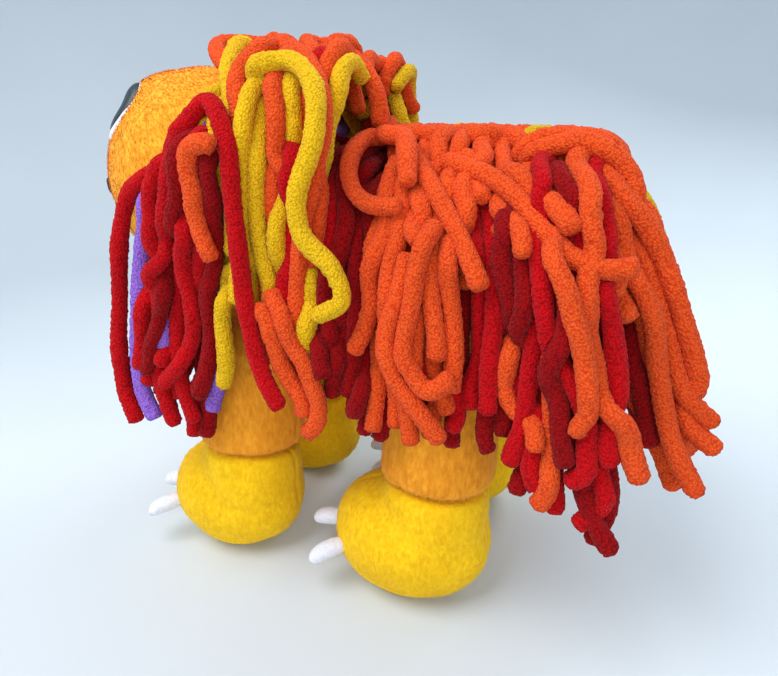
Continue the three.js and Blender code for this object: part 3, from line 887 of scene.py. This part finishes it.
class Coat:
    """Strands that share a piece: they ride on one body and stand for the same fringe."""

    def __init__(self, name, carrier, nodes, slot):
        self.name, self.carrier, self.nodes, self.slot = name, carrier, nodes, slot
        self.lines, self.colours = [], []

    def add(self, line, colour):
        self.lines.append(line)
        self.colours.append(colour)

    def finish(self, looks):
        palette = list(COLOURS)
        all_verts, all_faces, slots = [], [], []
        for count, (line, colour) in enumerate(zip(self.lines, self.colours)):
            verts, faces = strand_geometry(line, count + 1 + len(self.name) * 3.7)
            base = len(all_verts)
            all_verts += verts
            all_faces += [tuple(base + k for k in face) for face in faces]
            slots += [palette.index(colour)] * len(faces)
        piece = mesh_object(self.name, all_verts, all_faces, [looks[c] for c in palette], slots)
        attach(piece, self.carrier)
        if self.nodes:
            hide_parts(*self.nodes)


PUSH_ROUNDS = 10
PUSH_STEP = 3  # between the points that are pushed
LONGEST_PUSH = 1.2
WIDEST = 62  # how far from the middle a strand may lie
HIGHEST = 197  # how high on the head
RIDGE_START = 14  # behind this, the body's ridge
RIDGE_HEIGHT = 168  # and how high on it


def outness(points):
    """How far points are from the animal's middle line, which runs through the head and the body."""
    height = np.where(points[:, 1] < -5, 140, 106)
    return np.hypot(points[:, 0], np.maximum(points[:, 2] - height, 0))


def push_apart(lines, fixed_count):
    """Lays the strands over each other: where two would cross, the outer one is moved off the inner one."""
    coarse = [np.array([tuple(p) for p in even_steps(line, PUSH_STEP)]) for line in lines]
    points = np.concatenate(coarse)
    owner = np.concatenate([np.full(len(line), k) for k, line in enumerate(coarse)])
    place = np.concatenate([np.arange(len(line)) for line in coarse])
    last = np.concatenate([np.full(len(line), len(line) - 1) for line in coarse])
    pinned = (owner < fixed_count) | (place < 2)
    inner = np.flatnonzero(~pinned & (place < last))
    start_out = outness(points)
    gap = 2 * PILE_RADIUS * 0.97
    for _ in range(PUSH_ROUNDS):
        tree = kdtree.KDTree(len(points))
        for k, point in enumerate(points):
            tree.insert(point, k)
        tree.balance()
        out = outness(points)
        move = np.zeros_like(points)
        for k in np.flatnonzero(~pinned):
            for _, other, distance in tree.find_range(points[k], gap):
                if owner[other] == owner[k] or distance < 0.01:
                    continue
                share = 1 if pinned[other] else (0.8 if out[k] > out[other] else 0.2)
                move[k] += (points[k] - points[other]) / distance * (gap - distance) * share * 0.5
        length = np.linalg.norm(move, axis=1)[:, None]
        points += move * np.minimum(1, LONGEST_PUSH / np.maximum(length, 1e-6))
        points[inner] = 0.7 * points[inner] + 0.15 * (points[inner - 1] + points[inner + 1])
        sunk = np.maximum(start_out - 1.5 - outness(points), 0) * ~pinned
        points[:, 0] += np.sign(points[:, 0]) * sunk * 0.7
        points[:, 2] += (points[:, 2] > 140) * sunk * 0.7
        points[:, 0] = np.clip(points[:, 0], -WIDEST, WIDEST)
        ceiling = np.where(points[:, 1] > RIDGE_START, RIDGE_HEIGHT, HIGHEST)
        points[:, 2] = np.where(pinned, points[:, 2], np.minimum(points[:, 2], ceiling))
    ends = np.cumsum([len(line) for line in coarse])[:-1]
    return [smooth_route(line) for line in np.split(points, ends)]


# One row for each stretch of the coat: how many strands, where their roots and their tips lie, as
# (y from, y to, reach), how high they lie over the draped surface, and their colours in turn.
HEAD_ROWS = [
    (9, (-46, -28, 62), (-70, -36, 156), -1.5, ["red", "crimson", "red", "lilac", "red"]),
    (6, (-40, -26, 66), (-66, -36, 146), 2.5, ["red", "red", "crimson"]),
    (7, (-30, -4, 36), (-28, -2, 118), -0.5, ["gold", "gold", "orange"]),
    (6, (-22, 6, 30), (-16, 10, 136), -3, ["orange", "gold", "orange", "red"]),
]
BODY_ROWS = [
    (5, (-6, 14, 10), (-2, 22, 96), 2, ["crimson", "crimson", "red"]),
    (10, (-8, 76, 30), (-6, 80, 104), -4, ["crimson", "crimson", "red", "crimson"]),
    (9, (6, 74, 26), (4, 80, 100), 0,
     ["crimson", "crimson", "orange", "orange", "orange", "red", "red", "crimson", "orange"]),
    (5, (22, 54, 12), (26, 58, 84), 5, ["orange"]),
    (7, (66, 86, 40), (74, 108, 120), 1, ["red", "crimson", "orange", "red", "crimson"]),
    (4, (70, 86, 24), (88, 112, 112), 6, ["red", "crimson", "orange"]),
]


def fill_rows(coat, drape, rows, side, rng):
    for count, root, tip, row_lift, colours in rows:
        for k in range(count):
            share = (k + 0.5) / count + rng.uniform(-0.25, 0.25) / count
            start = (root[0] + (root[1] - root[0]) * share, root[2] + rng.uniform(-4, 4))
            end = (tip[0] + (tip[1] - tip[0]) * share, tip[2] + rng.uniform(-9, 9))
            colour = colours[k % len(colours)]
            # On the far side the gold strands, and every fourth strand from the second, take the lit copy of
            # gold: painted light.
            if side < 0 and (colour == "gold" or k % 4 == 1):
                colour = "sunny"
            lift = row_lift + rng.uniform(-0.8, 0.8)
            coat.add(hanging(drape, side, start, end, lift, rng), colour)


# Loose loops that stand up along the crown: (y, x, height) of the two feet and the top, and the colour.
# The far-side loops in the lit copy of gold are painted light.
CROWN_ARCS = [
    ((-44, 2, 187), (-36, 8, 193), (-24, 14, 187), "orange"),
    ((-36, -14, 186), (-38, -20, 191), (-24, -22, 183), "sunny"),
    ((-28, 10, 187), (-20, 16, 193), (-8, 20, 180), "orange"),
    ((-16, -10, 187), (-8, -12, 194), (4, -10, 180), "orange"),
    ((-42, -12, 185), (-38, -4, 191), (-28, 2, 189), "orange"),
    ((-6, -20, 178), (2, -24, 184), (10, -22, 168), "sunny"),
    ((-22, 2, 188), (-12, 4, 195), (0, 4, 184), "orange"),
]
CROWN_ROWS = [
    (4, (-32, 2, 30), (-36, 6, 72), -5, ["gold", "orange"]),
    (4, (-34, 0, 8), (-28, 8, 56), -4, ["orange"]),
]
SPINE_ROWS = [
    (8, (6, 86, -4), (14, 94, 56), -2, ["orange", "orange", "red"]),
    (7, (8, 74, -3), (42, 106, 50), 2, ["orange"]),
    (3, (14, 62, 2), (56, 100, 40), 5, ["orange"]),
]
# Strands that lie loose over the coat, each with a bend of its own.
LOOSE = {
    "head": [
        ("orange", head((-20, 64, 15), (-26, 62, 17), (-31, 68, 17), (-31, 78, 16), (-28, 88, 15),
            (-24, 96, 12))),
        ("orange", head((-6, 104, 7), (1, 118, 9), (9, 130, 10), (12, 142, 10), (6, 152, 9))),
        ("orange", head((-8, 108, 9), (-7, 124, 9), (0, 138, 9), (8, 147, 8))),
        ("gold", head((-22, 104, 5), (-25, 118, 7), (-22, 130, 8), (-26, 140, 6))),
    ],
    "torso": [
        ("orange", body((28, 4, 8), (19, 9, 13), (12, 20, 14), (13, 33, 14), (22, 42, 14), (34, 42, 13))),
        ("orange", body((12, 2, 12), (22, 10, 17), (30, 24, 18), (35, 37, 16))),
        ("orange", body((40, -4, 8), (43, 0, 15), (49, 6, 16), (55, 12, 10))),
        ("orange", body((30, -2, 8), (32, 4, 14), (38, 8, 14), (42, 4, 8))),
        ("orange", body((45, 44, 12), (41, 58, 13), (37, 74, 13), (40, 88, 14), (49, 92, 14), (55, 84, 12))),
        ("orange", body((38, 52, 12), (36, 70, 13), (38, 86, 13), (46, 98, 12), (53, 106, 10))),
        ("orange", body((78, 44, 12), (85, 58, 14), (91, 74, 14), (93, 88, 14), (92, 100, 12))),
        ("orange", [(26, 78, 158), (31, 94, 148), (33, 106, 130), (33, 114, 112), (34, 121, 94),
            (35, 131, 80)]),
        ("orange", [(31, 82, 154), (35, 96, 140), (37, 106, 120), (39, 112, 100), (41, 118, 82),
            (42, 127, 68)]),
        ("orange", [(20, 70, 160), (24, 86, 154), (27, 100, 140), (28, 108, 124), (28, 117, 116)]),
        # The two far-side strands in the lit copy of gold are painted light.
        ("sunny", [(-16, 78, 158), (-20, 96, 146), (-22, 108, 126), (-22, 116, 106), (-22, 121, 84),
            (-22, 124, 66)]),
        ("sunny", [(-26, 76, 156), (-30, 94, 142), (-31, 106, 122), (-31, 113, 100), (-31, 119, 78)]),
    ],
}
# The rump in profile, as (y, height), and the colours of its two layers of strands in turn.
RUMP_OUTLINE = [(60, 160), (74, 158), (86, 150), (95, 137), (101, 122), (107, 104), (112, 88), (119, 70),
                (126, 54)]
RUMP_COUNT = 15
RUMP_HALF_WIDTH = 26
RUMP_FAN = 1.46  # how much further apart the tips lie than the roots
RUMP_COLOURS = [["red", "orange", "crimson", "red"], ["orange"] * 4]


def rump_strand(x_root, x_tip, length, lift, rng):
    """A strand that falls from the ridge over the rump, fanning out sideways to its tip."""
    step = 4
    outline = even_steps([Vector((0, y, z)) for y, z in RUMP_OUTLINE], step)
    phase = rng.uniform(0, 2 * math.pi)
    first = int(rng.integers(0, 6))
    count = min(len(outline) - first, round(length / step))
    points = []
    for k in range(first, first + count, 3):
        t = (k - first) / (count - 1)
        before, after = outline[max(k - 2, 0)], outline[min(k + 2, len(outline) - 1)]
        along = (after - before).normalized()
        away = Vector((0, along.z * -1, along.y))
        x = x_root + (x_tip - x_root) * t ** 0.8 + 2.2 * math.sin(phase + 5 * t)
        rise = lift + 1.6 * math.sin(phase * 1.3 + 6 * t) - 9 * max(0, 0.12 - t) / 0.12
        points.append(Vector((x, outline[k].y, outline[k].z)) + away * rise)
    return smooth_route(points)


def add_coats(looks):
    coats = []
    for name, sign in SIDES.items():
        rng = np.random.default_rng(11 + sign)
        cheek = Coat(f"coat_cheek_{name}", "head", [f"cheek_fringe_{name}"], "chenille_red")
        fill_rows(cheek, CAPE, HEAD_ROWS, sign, rng)
        flank = Coat(f"coat_flank_{name}", "torso", [f"flank_fringe_{name}"], "chenille_crimson")
        fill_rows(flank, BLANKET, BODY_ROWS, sign, rng)
        coats += [cheek, flank]
    rng = np.random.default_rng(5)
    crown = Coat("coat_crown", "head", ["crown_fringe"], "chenille_gold")
    spine = Coat("coat_spine", "torso", ["spine_fringe"], "chenille_orange")
    rump = Coat("coat_rump", "torso", ["rump_fringe"], "chenille_red")
    for layer, lift in enumerate((-2, 4)):
        count = RUMP_COUNT - 3 * layer
        for k in range(count):
            x_root = -RUMP_HALF_WIDTH + 2 * RUMP_HALF_WIDTH * (k + 0.5) / count
            x_tip = RUMP_FAN * x_root + rng.uniform(-3, 3)
            line = rump_strand(x_root, x_tip, rng.uniform(92, 136), lift + rng.uniform(-1, 1), rng)
            rump.add(line, RUMP_COLOURS[layer][k % 4])
    for sign in SIDES.values():
        fill_rows(crown, CAPE, CROWN_ROWS, sign, rng)
        fill_rows(spine, BLANKET, SPINE_ROWS, sign, rng)
    for (y0, x0, z0), top, (y2, x2, z2), colour in CROWN_ARCS:
        arc = [(y0, x0, z0 - 6), (y0, x0, z0), top, (y2, x2, z2), (y2 + 2, x2 * 1.1, z2 - 10)]
        crown.add(smooth_route([(x, y, z) for y, x, z in arc]), colour)
    for coat, strands in ((crown, LOOSE["head"]), (spine, LOOSE["torso"])):
        for colour, points in strands:
            coat.add(smooth_route(points), colour)
    coats += [rump, crown, spine]
    fixed = [smooth_route(points) for _, _, points in STRANDS.values()]
    lines = push_apart(fixed + [line for coat in coats for line in coat.lines], len(fixed))[len(fixed):]
    for coat in coats:
        coat.lines, lines = lines[:len(coat.lines)], lines[len(coat.lines):]
        coat.finish(looks)


add_camera()
add_lights()
add_floor()
chenille = {name: chenille_material(name) for name in COLOURS}
looks = {
    "golden": plush_material("golden", (1.0, 0.46, 0.035), (0.82, 0.32, 0.018), (1, 0.6, 0.5)),
    "golden_leg": plush_material("golden_leg", (0.98, 0.42, 0.030), (0.78, 0.27, 0.014)),
    "yellow": plush_material("yellow", (1.0, 0.64, 0.012), (0.86, 0.48, 0.006), (1, 1, 0.6)),
    "white": plain_material("felt_white", (0.80, 0.80, 0.86), (0.66, 0.66, 0.74), 0.85),
    "eye": eye_material(),
    "black": plain_material("black_thread", (0.012, 0.010, 0.010), (0.003, 0.003, 0.003), 0.55),
}
head_skin = add_head(looks)
for side_name, side_sign in SIDES.items():
    add_eye(head_skin, side_name, side_sign, looks)
add_mouth(head_skin, looks)
add_torso(looks)
for number, (pair_name, pair) in enumerate(LEG_PAIRS.items()):
    for side_name, side_sign in SIDES.items():
        seed = 10 + 2 * number + side_sign
        add_leg(pair_name, pair, side_name, side_sign, looks, seed)
        add_foot(pair_name, pair, side_name, side_sign, looks, seed)
add_declared_strands(chenille)
add_tucks(chenille)
add_coats(chenille)
